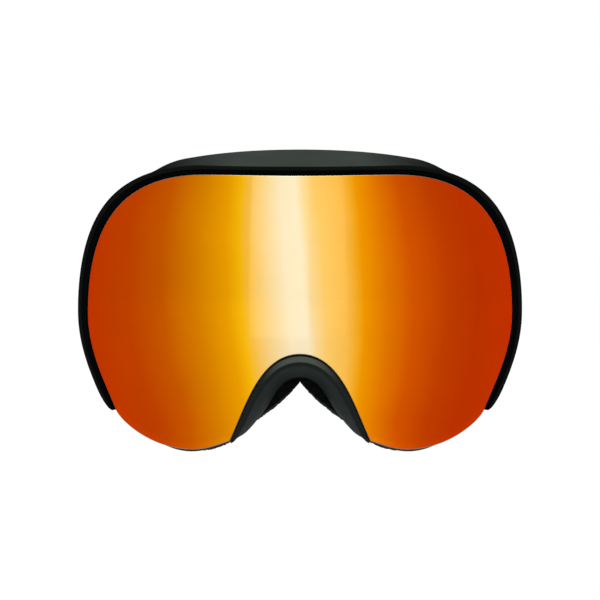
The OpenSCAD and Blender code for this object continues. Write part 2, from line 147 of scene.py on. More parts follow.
RING = np.arange(2 * HALF * COARSE) / COARSE
FINE_RING = np.arange(2 * HALF * FINE) / FINE


def ramp(v, a, b):
    f = np.clip((v - a) / (b - a), 0, 1)
    return f * f * (3 - 2 * f)


def mix(a, b, f):
    f = np.asarray(f, float)
    f = f[..., None] if f.ndim else f
    return a * (1 - f) + b * f


def front_point(name, s, w):
    """Place seen from the front, w millimetres outwards of an outline at stations s."""
    k = np.rint(np.asarray(s) * FINE).astype(int) % len(RAILS[name])
    w = np.broadcast_to(np.asarray(w, float), k.shape)
    return RAILS[name][k] + w[..., None] * OUT[name][k]


def lens_point(p, d):
    """Point d millimetres behind the lens's front surface."""
    x, z = p[..., 0], p[..., 1]
    a = np.sqrt(LENS_ROLL**2 - z * z)
    rho = LENS_BEND - LENS_ROLL + a
    deep = np.sqrt(rho * rho - x * x)
    normal = np.stack([x / rho * a / LENS_ROLL, -deep / rho * a / LENS_ROLL, z / LENS_ROLL], -1)
    d = np.broadcast_to(np.asarray(d, float), x.shape)
    return np.stack([x, LENS_BEND - DEPTH - deep, z], -1) - d[..., None] * normal


def face_point(p, e):
    """Point e millimetres towards the face from the frame's flange."""
    x, z = p[..., 0], p[..., 1]
    lift = NOSE_RISE * np.exp(-((x / NOSE_HALF) ** 2)) * ramp(-z, 8, 40)
    deep = np.sqrt(FLANGE_R**2 - x * x)
    e = np.broadcast_to(np.asarray(e, float), x.shape)
    shrink = 1 - e / FLANGE_R
    return np.stack([x * shrink, FACE_AXIS_Y - deep * shrink - lift, z], -1)


def on_lens(s, w, d):
    return lens_point(front_point("lens", s, w), d)


def on_face(s, w, e):
    return face_point(front_point("face", s, w), e)


def on_foam(s, w, e):
    return face_point(front_point("foam", s, w), e)


# ---- Mesh tools ----
def bare_piece(name, points, faces, kind=None, kinds=()):
    """A smooth-shaded piece from points in millimetres. kind gives each face's material."""
    mesh = bpy.data.meshes.new(name)
    mesh.from_pydata([tuple(p) for p in np.asarray(points) * MM], [], faces)
    for material in kinds:
        mesh.materials.append(material)
    if kind is not None:
        mesh.polygons.foreach_set("material_index", kind)
    mesh.polygons.foreach_set("use_smooth", [True] * len(mesh.polygons))
    obj = bpy.data.objects.new(name, mesh)
    bpy.context.scene.collection.objects.link(obj)
    return obj


def new_piece(name, points, faces, kind=None, kinds=()):
    """The same, with its doubled points joined and its faces turned outwards."""
    obj = bare_piece(name, points, faces, kind, kinds)
    tidy_normals(obj)
    return obj


def tidy_normals(obj, weld=1e-6):
    """Joins points nearer than weld metres and turns every face outwards."""
    bm = bmesh.new()
    bm.from_mesh(obj.data)
    bmesh.ops.remove_doubles(bm, verts=bm.verts, dist=weld)
    bmesh.ops.recalc_face_normals(bm, faces=bm.faces)
    bm.to_mesh(obj.data)
    bm.free()


def rounded(rows, radii, cuts=3):
    """rows is stations x corners x 3. Each corner with a radius becomes a small curve."""
    before, after = np.roll(rows, 1, axis=1), np.roll(rows, -1, axis=1)
    columns = []
    for j, radius in enumerate(radii):
        p = rows[:, j]
        if not radius:
            columns.append(p)
            continue
        ends = []
        for q in (before[:, j], after[:, j]):
            step = q - p
            length = np.linalg.norm(step, axis=1, keepdims=True)
            ends.append(p + step / length * np.minimum(radius, 0.42 * length))
        for k in range(cuts + 1):
            u = k / cuts
            columns.append((1 - u) ** 2 * ends[0] + 2 * u * (1 - u) * p + u * u * ends[1])
    return np.stack(columns, axis=1)


def divided(rows, longest):
    """Adds points on each side of the section so that none is longer than longest."""
    after = np.roll(rows, -1, axis=1)
    columns = []
    for j in range(rows.shape[1]):
        length = np.linalg.norm(after[:, j] - rows[:, j], axis=1).max()
        parts = max(1, math.ceil(length / longest))
        for k in range(parts):
            columns.append(rows[:, j] + (after[:, j] - rows[:, j]) * k / parts)
    return np.stack(columns, axis=1)


def skin_faces(n, m, ring):
    """Quads over n sections of m points, closed lengthwise if ring, else with two end caps."""
    faces = []
    for i in range(n if ring else n - 1):
        a, b = i * m, ((i + 1) % n) * m
        for j in range(m):
            k = (j + 1) % m
            faces.append((a + j, a + k, b + k, b + j))
    if not ring:
        faces.append(tuple(range(m)))
        faces.append(tuple(range((n - 1) * m, n * m)))
    return faces


def swept(name, rows, material, ring=False, edge_angle=40):
    n, m = rows.shape[:2]
    obj = new_piece(name, rows.reshape(-1, 3), skin_faces(n, m, ring), kinds=(material,))
    sharp_by_angle(obj, edge_angle)
    return obj


def place_painted_shading(obj, rows, painted_shading):
    """Gives each point of a swept piece the painted light and shade gain of the section point it came
    from.
    """
    if len(obj.data.vertices) != rows.shape[0] * rows.shape[1]:
        raise ValueError("points were welded")
    float_attribute(obj, "painted_shading", painted_shading.ravel())


def sharp_by_angle(obj, degrees):
    obj.data.set_sharp_from_angle(angle=math.radians(degrees))


def roughened(obj, amount, size, seed):
    """Moves each point of a foam piece along its normal by noise, amount and size in millimetres."""
    mesh = obj.data
    shift = Vector((seed * 7.3, seed * 3.1, seed * 5.7))
    moved = []
    for v in mesh.vertices:
        at = v.co / (size * MM)
        swell = noise.noise(at + shift) + 0.5 * noise.noise(2.3 * at - shift)
        moved.append(v.co + v.normal * swell * amount * MM)
    mesh.vertices.foreach_set("co", np.array(moved, np.float32).ravel())
    mesh.update()


def cut_away(obj, cutters):
    """Cuts closed meshes out of obj and removes them."""
    for cutter in cutters:
        modifier = obj.modifiers.new("cut", "BOOLEAN")
        modifier.operation = "DIFFERENCE"
        modifier.solver = "EXACT"
        modifier.object = cutter
    apply_modifiers(obj)
    for cutter in cutters:
        bpy.data.objects.remove(cutter)


def apply_modifiers(obj):
    graph = bpy.context.evaluated_depsgraph_get()
    mesh = bpy.data.meshes.new_from_object(obj.evaluated_get(graph))
    obj.modifiers.clear()
    obj.data = mesh


def block(low, high):
    """A box between two corners in millimetres, used only for cutting."""
    low, high = np.array(low, float), np.array(high, float)
    corners = [np.where([i & 1, i & 2, i & 4], high, low) for i in range(8)]
    faces = [(0, 2, 3, 1), (4, 5, 7, 6), (0, 1, 5, 4), (2, 6, 7, 3), (0, 4, 6, 2), (1, 3, 7, 5)]
    return new_piece("cutter", corners, faces)


def rod(start, end, radius, sides=24):
    """A closed cylinder between two points in millimetres."""
    a, b = Vector(start), Vector(end)
    turn = (b - a).to_track_quat("Z", "Y")
    length = (b - a).length
    points = []
    for z in (0, length):
        for k in range(sides):
            angle = 2 * math.pi * k / sides
            points.append(a + turn @ Vector((radius * math.cos(angle), radius * math.sin(angle), z)))
    return new_piece("cutter", [tuple(p) for p in points], skin_faces(2, sides, False))


def float_attribute(obj, name, values):
    attribute = obj.data.attributes.new(name, "FLOAT", "POINT")
    attribute.data.foreach_set("value", np.asarray(values, np.float32))


# ---- Materials ----
def add(tree, kind, inputs=None, **settings):
    """Adds a shader node, with its settings and its inputs set or linked."""
    node = tree.nodes.new("ShaderNode" + kind)
    for key, value in settings.items():
        setattr(node, key, value)
    for key, value in (inputs or {}).items():
        if isinstance(value, bpy.types.NodeSocket):
            tree.links.new(value, node.inputs[key])
        else:
            node.inputs[key].default_value = value
    return node


def blank_material(name):
    material = bpy.data.materials.new(name)
    material.use_nodes = True
    tree = material.node_tree
    tree.nodes.clear()
    return material, tree


def close_material(tree, **inputs):
    """Adds the Principled shader with these inputs. Underscores in the names stand for spaces."""
    named = {key.replace("_", " "): value for key, value in inputs.items()}
    surface = add(tree, "BsdfPrincipled", named)
    add(tree, "OutputMaterial", {"Surface": surface.outputs[0]})


def noise_of(tree, scale, detail=3.0, roughness=0.55, vector=None):
    vector = vector or add(tree, "TexCoord").outputs["Object"]
    inputs = {"Vector": vector, "Scale": scale, "Detail": detail, "Roughness": roughness}
    return add(tree, "TexNoise", inputs).outputs["Fac"]


def between(tree, fac, low, high, from_low=0.3, from_high=0.7):
    """A number from low to high as fac goes from from_low to from_high."""
    ends = {"From Min": from_low, "From Max": from_high, "To Min": low, "To Max": high}
    return add(tree, "MapRange", {"Value": fac, **ends}).outputs["Result"]


def colour_ramp(tree, fac, stops):
    node = add(tree, "ValToRGB", {"Fac": fac})
    ramp_ = node.color_ramp
    while len(ramp_.elements) < len(stops):
        ramp_.elements.new(0.5)
    for element, (at, colour) in zip(ramp_.elements, stops):
        element.position = at
        element.color = (*colour, 1)
    return node.outputs["Color"]


def bump_of(tree, height, distance, strength=1.0, normal=None):
    inputs = {"Height": height, "Distance": distance * MM, "Strength": strength}
    if normal:
        inputs["Normal"] = normal
    return add(tree, "Bump", inputs).outputs["Normal"]


def moulded(name, dark, light, rough, grain=0.35, grain_size=0.35, specular=0.5, painted_shading=None):
    """Moulded plastic or elastomer: faint mottling, a fine spark-eroded grain and uneven gloss.
    With a gain for painted light and shade, the colour goes to itself times that gain where the piece's
    painted shading attribute is 1: below 1 it paints shade, above 1 it paints light."""
    material, tree = blank_material(name)
    cloud = noise_of(tree, 45, 4)
    colour = colour_ramp(tree, cloud, ((0.3, dark), (0.75, light)))
    if painted_shading is not None:
        amount = add(tree, "Attribute", attribute_name="painted_shading").outputs["Fac"]
        change = tuple(c - 1 for c in painted_shading)
        inputs = {0: amount, 1: change, 2: (1, 1, 1)}
        gain = add(tree, "VectorMath", inputs, operation="MULTIPLY_ADD").outputs[0]
        colour = add(tree, "VectorMath", {0: colour, 1: gain}, operation="MULTIPLY").outputs[0]
    fine = noise_of(tree, 1 / (grain_size * MM), 2)
    normal = bump_of(tree, fine, 0.03, grain)
    normal = bump_of(tree, noise_of(tree, 160, 3), 0.05, 0.25, normal)
    close_material(
        tree,
        Base_Color=colour,
        Roughness=between(tree, noise_of(tree, 220, 4), rough - 0.05, rough + 0.07),
        Normal=normal,
        Specular_IOR_Level=specular,
    )
    return material


# These shape the coating's colour bands, whose cream-gold middle is a painted reflection of a light.
BAND_LEAN = 0.07             # sideways for each metre of height
BAND_BOW = 0.15              # share by which the bands close in at the lens's top and foot
LEAN_FROM, LEAN_TO = 0.006, 0.018   # metres right of the middle over which the lean ends
BAND_TALL = 0.047            # metres above or below the origin where the bow is full
BAND_WOBBLE = 0.0012         # metres that the bands wander sideways
# Painted highlight: the coating colour is raised by this gain along the lens's lower cut edge.
EDGE_PAINTED_HIGHLIGHT = 1.07                # gain at the cut edge below the rim
# Coating colour at distances across the lens, in millimetres from its middle. The cream-gold middle is a
# painted reflection of a light, blending into the coating's own orange and red towards the sides.
COATING_WITH_PAINTED_REFLECTION = (
    (-86, (0.50, 0.036, 0.0)),
    (-68, (0.50, 0.050, 0.0)),
    (-54, (0.545, 0.092, 0.0)),
    (-40, (0.65, 0.20, 0.0)),
    (-28, (0.80, 0.33, 0.0)),
    (-22.5, (0.91, 0.47, 0.004)),
    (-19.5, (0.90, 0.50, 0.06)),
    (-12, (0.90, 0.65, 0.28)),
    (-5, (0.91, 0.76, 0.49)),
    (1.5, (0.91, 0.77, 0.51)),
    (5, (0.93, 0.66, 0.28)),
    (10, (0.95, 0.58, 0.13)),
    (18, (0.94, 0.50, 0.075)),
    (22, (0.90, 0.40, 0.015)),
    (25, (0.86, 0.30, 0.0)),
    (34, (0.74, 0.175, 0.0)),
    (44, (0.63, 0.085, 0.0)),
    (58, (0.50, 0.044, 0.0)),
    (70, (0.48, 0.032, 0.0)),
    (86, (0.53, 0.032, 0.0)),
)


def mirror_coating_with_painted_reflection():
    """The lens's front: an interference mirror, red at the sides, with a painted reflection of a light in
    its cream-gold middle.
    """
    material, tree = blank_material("mirror_coating_with_painted_reflection")
    place = add(tree, "TexCoord").outputs["Object"]
    split = add(tree, "SeparateXYZ", {"Vector": place})
    x, z = split.outputs["X"], split.outputs["Z"]
    # The coating's bands and its painted reflection lean a little on the left and the middle, and close in
    # above and below.
    lean = between(tree, x, BAND_LEAN, 0, LEAN_FROM, LEAN_TO)
    shear = add(tree, "Math", {0: z, 1: lean}, operation="MULTIPLY").outputs[0]
    square = add(tree, "Math", {0: z, 1: z}, operation="MULTIPLY").outputs[0]
    bow = between(tree, square, 1, 1 - BAND_BOW, 0, BAND_TALL**2)
    x = add(tree, "Math", {0: x, 1: shear}, operation="ADD").outputs[0]
    x = add(tree, "Math", {0: x, 1: bow}, operation="DIVIDE").outputs[0]
    wander = noise_of(tree, 22, 3)
    wobble = between(tree, wander, -BAND_WOBBLE, BAND_WOBBLE, 0.2, 0.8)
    x = add(tree, "Math", {0: x, 1: wobble}, operation="ADD").outputs[0]
    half = COATING_WITH_PAINTED_REFLECTION[-1][0] * MM
    fac = between(tree, x, 0, 1, -half, half)
    stops = [((mm * MM + half) / (2 * half), colour) for mm, colour in COATING_WITH_PAINTED_REFLECTION]
    tint = colour_ramp(tree, fac, stops)
    # Painted highlight: the coating is brighter where the lens's edge attribute is 1, along its lower cut
    # edge.
    edge = add(tree, "Attribute", attribute_name="edge").outputs["Fac"]
    painted_edge_highlight = between(tree, edge, 1.0, EDGE_PAINTED_HIGHLIGHT, 0, 1)
    cloud = between(tree, noise_of(tree, 26, 3), 0.95, 1.03)
    gain = add(tree, "Math", {0: painted_edge_highlight, 1: cloud}, operation="MULTIPLY").outputs[0]
    tint = add(tree, "VectorMath", {0: tint, "Scale": gain}, operation="SCALE").outputs[0]
    close_material(
        tree,
        Base_Color=tint,
        Metallic=1.0,
        Specular_Tint=(1.0, 0.45, 0.12, 1),
        Roughness=between(tree, noise_of(tree, 60, 3), 0.05, 0.08),
        Normal=bump_of(tree, noise_of(tree, 18, 2), 0.02, 0.15),
    )
    return material


def amber_sheet(name, colour, alpha):
    """Clear tinted sheet with faint smears in its gloss."""
    material, tree = blank_material(name)
    smear = noise_of(tree, 35, 5)
    smeared = tuple(c * 0.85 for c in colour)
    close_material(
        tree,
        Base_Color=colour_ramp(tree, smear, ((0.3, colour), (0.8, smeared))),
        Roughness=between(tree, smear, 0.06, 0.14),
        Alpha=alpha,
        Coat_Weight=0.6,
        Coat_Roughness=0.04,
    )
    return material


def open_foam(name, colour, cell=0.9):
    """Open-cell foam: small pores between lighter struts, the pores painted dark for the shade inside
    them.
    """
    material, tree = blank_material(name)
    place = add(tree, "TexCoord").outputs["Object"]
    inputs = {"Vector": place, "Scale": 1 / (cell * MM), "Randomness": 1.0}
    smaller = {**inputs, "Scale": 2.4 / (cell * MM)}
    cells = add(tree, "TexVoronoi", inputs, feature="F1").outputs["Distance"]
    fine = add(tree, "TexVoronoi", smaller, feature="F1").outputs["Distance"]
    pores = add(tree, "Math", {0: cells, 1: fine}, operation="ADD").outputs[0]
    # Painted shade: the pores are a quarter as bright as the struts.
    pore_painted_shade = tuple(c * 0.25 for c in colour)
    normal = bump_of(tree, pores, 0.35, 0.9)
    close_material(
        tree,
        Base_Color=colour_ramp(tree, pores, ((0.15, pore_painted_shade), (0.95, colour))),
        Roughness=between(tree, noise_of(tree, 500, 2), 0.85, 1.0),
        Normal=normal,
        Specular_IOR_Level=0.2,
    )
    return material


def fleece_pile():
    """Short brushed pile: clumped fibres with a soft sheen."""
    material, tree = blank_material("fleece_pile")
    place = add(tree, "TexCoord").outputs["Object"]
    warp = add(tree, "TexNoise", {"Vector": place, "Scale": 260.0, "Detail": 2.0}).outputs["Color"]
    bent = add(tree, "VectorMath", {0: warp, 1: (0.004, 0.004, 0.004)}, operation="MULTIPLY").outputs[0]
    bent = add(tree, "VectorMath", {0: place, 1: bent}, operation="ADD").outputs[0]
    fibre = noise_of(tree, 2600, 4, 0.7, bent)
    clump = noise_of(tree, 420, 3, 0.6, bent)
    height = add(tree, "Math", {0: fibre, 1: clump}, operation="ADD").outputs[0]
    # Painted shade: the pile is darker where it is low, deep among the fibres.
    deep, tips = (0.004, 0.0045, 0.005), (0.020, 0.021, 0.023)
    close_material(
        tree,
        Base_Color=colour_ramp(tree, height, ((0.35, deep), (0.75, tips))),
        Roughness=between(tree, fibre, 0.8, 1.0),
        Normal=bump_of(tree, height, 0.25, 0.8),
        Specular_IOR_Level=0.1,
        Sheen_Weight=0.05,
        Sheen_Roughness=0.4,
    )
    return material


CORD_PITCH, PICK_PITCH = 1.25, 0.8


def webbing():
    """Ribbed elastic: lengthwise cords crossed by fine picks, from the strap's own measures."""
    material, tree = blank_material("webbing")
    along = add(tree, "Attribute", attribute_name="along").outputs["Fac"]
    across = add(tree, "Attribute", attribute_name="across").outputs["Fac"]
    cord = wave(tree, across, CORD_PITCH)
    pick = wave(tree, along, PICK_PITCH)
    weave = add(tree, "Math", {0: cord, 1: pick}, operation="MULTIPLY").outputs[0]
    height = add(tree, "Math", {0: weave, 1: cord}, operation="ADD").outputs[0]
    fuzz = noise_of(tree, 2200, 3)
    height = add(tree, "Math", {0: height, 1: fuzz}, operation="ADD").outputs[0]
    # Painted shade: the weave is darker where it is low, between the cords and picks.
    deep, tips = (0.004, 0.004, 0.0045), (0.034, 0.035, 0.038)
    close_material(
        tree,
        Base_Color=colour_ramp(tree, height, ((0.3, deep), (0.9, tips))),
        Roughness=between(tree, fuzz, 0.62, 0.85),
        Normal=bump_of(tree, height, 0.3, 1.0),
        Specular_IOR_Level=0.3,
        Sheen_Weight=0.15,
        Sheen_Roughness=0.45,
    )
    return material


def wave(tree, metres, pitch):
    """A smooth ridge every pitch millimetres, from 0 to 1."""
    inputs = {0: metres, 1: 2 * math.pi / (pitch * MM)}
    turn = add(tree, "Math", inputs, operation="MULTIPLY").outputs[0]
    sine = add(tree, "Math", {0: turn}, operation="SINE").outputs[0]
    return between(tree, sine, 0, 1, -1, 1)


def brushed_metal(name, colour, rough):
    material, tree = blank_material(name)
    place = add(tree, "TexCoord").outputs["Object"]
    stretched = add(tree, "VectorMath", {0: place, 1: (1, 1, 0.06)}, operation="MULTIPLY").outputs[0]
    lines = noise_of(tree, 4000, 3, 0.6, stretched)
    worn = tuple(c * 0.8 for c in colour)
    close_material(
        tree,
        Base_Color=colour_ramp(tree, lines, ((0.3, worn), (0.7, colour))),
        Metallic=1.0,
        Roughness=between(tree, lines, rough - 0.08, rough + 0.08),
        Normal=bump_of(tree, lines, 0.01, 0.3),
    )
    return material


def pale_floor():
    material, tree = blank_material("pale_floor")
    cloud = noise_of(tree, 3, 3)
    close_material(
        tree,
        Base_Color=colour_ramp(tree, cloud, ((0.3, (0.87, 0.87, 0.87)), (0.7, (0.89, 0.89, 0.89)))),
        Roughness=0.9,
        Specular_IOR_Level=0.1,
    )
    return material


MATERIALS = {
    "mirror": mirror_coating_with_painted_reflection(),
    "lens_back": amber_sheet("lens_back", (0.30, 0.10, 0.02), 0.8),
    "lens_edge": moulded("lens_cut_edge", (0.16, 0.14, 0.10), (0.22, 0.20, 0.15), 0.3,
                         grain=0.2, specular=0.3),
    "amber": amber_sheet("amber_inner", (0.75, 0.36, 0.10), 0.35),
    "hard": moulded("hard_black", (0.006, 0.007, 0.007), (0.010, 0.011, 0.011), 0.36,
                    specular=0.25),
    # The rim's black and the grey band are one black plastic painted as lit and shaded copies:
    # shoulder and towards the sides, and the black lip is painted darker still for the shade where the rim
    # meets the lens.
    # the grey is painted lighter for the light from overhead, its 0.17 gain paints shade on the
    "rim": moulded("rim_black", (0.0006, 0.0010, 0.0014), (0.0016, 0.0022, 0.0026), 0.45,
                   specular=0.006),
    "crescent": moulded("rim_grey_painted_light_and_shade", (0.037, 0.045, 0.039), (0.048, 0.057, 0.050), 0.6,
                        specular=0.0, painted_shading=(0.17, 0.17, 0.17)),
    # The soft frame's gain paints light on the nose bridge's upper roll.
    "soft": moulded("soft_frame", (0.0125, 0.0175, 0.0168), (0.016, 0.0215, 0.0205), 0.66,
                    grain=0.5, grain_size=0.5, specular=0.02, painted_shading=(5.4, 4.7, 4.2)),
    "foam": open_foam("open_foam", (0.0045, 0.005, 0.0056)),
    "foam_soft": open_foam("soft_foam", (0.008, 0.0085, 0.0095), 0.7),
    "fleece": fleece_pile(),
    "webbing": webbing(),
    "silicone": moulded("silicone_print", (0.05, 0.05, 0.055), (0.07, 0.07, 0.075), 0.3,
                        grain=0.15, grain_size=0.8),
    "steel": brushed_metal("brushed_steel", (0.50, 0.51, 0.52), 0.32),
    "nickel": brushed_metal("nickel_plate", (0.66, 0.64, 0.60), 0.2),
    "thread": moulded("thread", (0.05, 0.05, 0.054), (0.11, 0.11, 0.115), 0.7,
                      grain=0.6, grain_size=0.2),
}


# ---- Lens ----
GRID_TOP = 12                   # station where the lens grid's upper corners lie
SIDE_PULL = 6                   # how fast the side outlines' pull fades inwards
# Points of the lens's lower edge less inset than this take the painted highlight.
LIT_INSET = 2.5                 # edge points less inset than this take the edge's glow


def coons_grid(w, d):
    """A square grid of points over the lens inside its outline moved by w, d behind its front."""
    across = stations(-GRID_TOP, GRID_TOP)
    down = stations(GRID_TOP, HALF - GRID_TOP)
    top = front_point("lens", across, w)
    low = front_point("lens", HALF + across[::-1], w)
    right = front_point("lens", down, w)
    left = front_point("lens", -down, w)
    u = np.linspace(0, 1, top.shape[0])[None, :, None]
    v = np.linspace(0, 1, right.shape[0])[:, None, None]
    flat = (1 - v) * top[None] + v * low[None]
    # The side outlines pull only the columns near them, so none folds over the nose notch.
    flat = flat + (1 - u) ** SIDE_PULL * (left[:, None] - flat[:, :1])
    flat = flat + u**SIDE_PULL * (right[:, None] - flat[:, -1:])
    return lens_point(flat, d)


def grid_faces(rows, columns, base):
    faces = []
    for i in range(rows - 1):
        for j in range(columns - 1):
            a = base + i * columns + j
            faces.append((a, a + 1, a + columns + 1, a + columns))
    return faces


def lens_sheet(name, w, d, thick, edge, kinds, bevel=()):
    """Curved sheet whose edge follows (inset, depth) pairs from the front face to the rear one.
    kinds is the front's, the back's and the bevel's material, bevel the steps it takes."""
    inset_front, inset_rear = edge[0][0], edge[-1][0]
    face = coons_grid(w - inset_front, d)
    rear = coons_grid(w - inset_rear, d + thick)
    rows = np.stack([on_lens(RING, w - inset, d + deep) for inset, deep in edge], axis=1)
    n, m = rows.shape[:2]
    points = np.concatenate([face.reshape(-1, 3), rear.reshape(-1, 3), rows.reshape(-1, 3)])
    size = face.shape[0] * face.shape[1]
    faces = grid_faces(*face.shape[:2], 0)
    kind = [0] * len(faces)
    faces += grid_faces(*rear.shape[:2], size)
    kind += [1] * (len(faces) - len(kind))
    for i in range(n):
        a, b = 2 * size + i * m, 2 * size + ((i + 1) % n) * m
        for j in range(m - 1):
            faces.append((a + j, a + j + 1, b + j + 1, b + j))
            kind.append(2 if j in bevel else 0 if edge[j + 1][1] < 0.35 * thick else 1)
    # Points near the lens's lower edge are marked for the coating's painted highlight.
    below = [TAIL < min(s, 2 * HALF - s) < FOOT for s in RING]
    painted_edge_highlight = [0.0] * (2 * size)
    painted_edge_highlight += [1.0 if low and inset < LIT_INSET else 0.0 for low in below for inset, _ in edge]
    obj = bare_piece(name, points, faces, kind, kinds)
    float_attribute(obj, "edge", painted_edge_highlight)
    tidy_normals(obj, 2e-6)
    sharp_by_angle(obj, 50)
    return obj


def outer_lens():
    t = LENS_T
    edge = (
        (3.0, 0), (1.4, 0), (0.42, 0.004), (0.34, 0.03), (0.08, 0.28), (0, 0.4),
        (0, t - 0.35), (0.12, t - 0.1), (0.4, t), (3.0, t),
    )
    kinds = (MATERIALS["mirror"], MATERIALS["lens_back"], MATERIALS["lens_edge"])
    obj = lens_sheet("mirror_lens", 0, 0, t, edge, kinds, bevel=(3, 4))
    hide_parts("outer_lens")
    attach(obj, "lens")


def inner_lens():
    t = INNER_T
    edge = (
        (2.0, 0), (0.3, 0), (0.05, 0.1), (0, 0.3),
        (0, t - 0.3), (0.05, t - 0.1), (0.3, t), (2.0, t),
    )
    depth = SPACER_BACK + GLUE
    obj = lens_sheet("amber_inner_lens", SPACER_OUT, depth, t, edge, (MATERIALS["amber"],) * 2)
    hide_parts("inner_lens")
    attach(obj, "lens")


def lens_spacer():
    s = RING
    front, back = LENS_T + GLUE, SPACER_BACK
    rows = np.stack([
        on_lens(s, SPACER_OUT, front), on_lens(s, SPACER_OUT, back),
        on_lens(s, SPACER_IN, back), on_lens(s, SPACER_IN, front),
    ], axis=1)
    rows = divided(rounded(rows, (0.3,) * 4), 0.9)
    obj = swept("spacer_gasket", rows, MATERIALS["foam"], ring=True)
    roughened(obj, 0.06, 0.8, 1)
    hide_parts("lens_spacer")
    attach(obj, "lens")


def lens_carrier():
    """The seat behind the lens, with a pocket for each magnet."""
    s = RING
    front = LENS_T + GLUE
    rows = np.stack([
        on_lens(s, CARRIER_OUT, front), on_lens(s, CARRIER_OUT, CARRIER_BACK),
        on_lens(s, CARRIER_IN, CARRIER_BACK), on_lens(s, CARRIER_IN, front),
    ], axis=1)
    obj = swept("carrier_ring", rounded(rows, (0.25, 0.6, 0.6, 0.25)), MATERIALS["hard"], ring=True)
    cut_away(obj, magnet_cutters(CARRIER_BACK - MAGNET_T, CARRIER_BACK + 1))
    sharp_by_angle(obj, 35)
    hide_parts("lens_carrier")
    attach(obj, "lens")


MAGNET_R, MAGNET_T = 1.9, 1.4
MAGNET_STATIONS = (4, 13, 22, 33)


def magnet_cutters(front, back):
    middle = (CARRIER_IN + CARRIER_OUT) / 2
    cutters = []
    for s in MAGNET_STATIONS:
        for side in (1, -1):
            ends = [on_lens(np.array([side * s]), middle, d)[0] for d in (front, back)]
            cutters.append(rod(ends[0], ends[1], MAGNET_R + 0.05))
    return cutters


# ---- Frame, rim and nose ----
CHEEK_VENT, CHEEK_VENT_STATIONS = (0.55, 4.6, 6), (29, 31, 33, 35)   # share, length, depth
BROW_VENT, BROW_VENT_STATIONS = (0.62, 11, 5), (1, 3, 5)


def slot_cutter(station, share, long, deep, side):
    """Block through the frame's wall, as wide and tall as one vent slot."""
    k = np.array([side * station])
    middle = mix(on_lens(k, CARRIER_OUT, LAND), on_face(k, -1, -5), share)[0]
    out = OUT["face"][int(side * station * FINE) % len(OUT["face"])]
    cutter = block((-long / 2, -deep / 2, -6), (long / 2, deep / 2, 6))
    angle = math.pi / 2 - math.atan2(out[1], out[0])
    cutter.data.transform(Matrix.Rotation(angle, 4, "Y"))
    cutter.data.transform(Matrix.Translation(Vector(middle) * MM))
    return cutter


def inner_frame():
    s = RING
    wall_front = on_lens(s, CARRIER_OUT - 0.2, LAND + 3)
    wall_back = on_face(s, -1, -5)
    inside_front = on_lens(s, CARRIER_OUT - WALL, LAND + LAND_T + 1.6)
    inside_back = on_face(s, -1 - WALL, -4.6)
    columns = [
        (on_lens(s, CARRIER_OUT, LAND), 0.5), (wall_front, 1.5), (mix(wall_front, wall_back, 0.5), 0),
        (wall_back, 2.0), (on_face(s, 0, -2.2), 0.8), (on_face(s, 0, 0), 0.4),
    ]
    columns += [(on_face(s, -w, 0), 0) for w in ACROSS]
    columns += [
        (on_face(s, -FLANGE_W, 0), 0.5), (on_face(s, -FLANGE_W, -2), 0.9), (inside_back, 1.5),
        (mix(inside_front, inside_back, 0.5), 0), (inside_front, 1.2),
        (on_lens(s, CARRIER_IN, LAND + LAND_T), 0.8), (on_lens(s, CARRIER_IN, LAND), 0.5),
    ]
    rows = rounded(np.stack([c for c, _ in columns], axis=1), [r for _, r in columns])
    obj = swept("soft_inner_frame", rows, MATERIALS["soft"], ring=True)
    cutters = magnet_cutters(LAND - 0.5, LAND + MAGNET_T)
    for side in (1, -1):
        cutters += [slot_cutter(i, *CHEEK_VENT, side) for i in CHEEK_VENT_STATIONS]
        cutters += [slot_cutter(i, *BROW_VENT, side) for i in BROW_VENT_STATIONS]
    cut_away(obj, cutters)
    sharp_by_angle(obj, 35)
    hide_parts("inner_frame")
    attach(obj, "frame")


TAIL_TAPER = 2.4                # stations over which the rim's band narrows at its ends
THINNEST = 0.03                 # keeps a tapered end from closing to a point
CORNER_AT, CORNER_SPREAD = 11.5, 5     # station and spread of the rim's wide upper corner
TAIL_NARROWER = 0.2
NOTCH_LOW, NOTCH_HIGH = (81.25, 5.85, -13.05), (101, 26, 13.05)     # for the hinge bracket
RIVET_Y, RIVET_Z, RIVET_HOLE_R = 9.5, 7, 1.15
RIVET_FROM, RIVET_TO = 76, 88


def tail(s):
    """1 along the rim, falling round to nothing at its two ends."""
    past = np.maximum(0, np.abs(s) - TAIL + TAIL_TAPER) / TAIL_TAPER
    return np.sqrt(np.maximum(THINNEST, 1 - past**2))


def rim_width(s):
    j = np.abs(s)
    wide = RIM_TOP + (RIM_SIDE - RIM_TOP) * ramp(j, 2, 8)
    wide = wide + RIM_CORNER * np.exp(-(((j - CORNER_AT) / CORNER_SPREAD) ** 2))
    wide = wide - TAIL_NARROWER * ramp(j, 18, TAIL)
    return LIP_W + tail(s) * (wide - LIP_W)


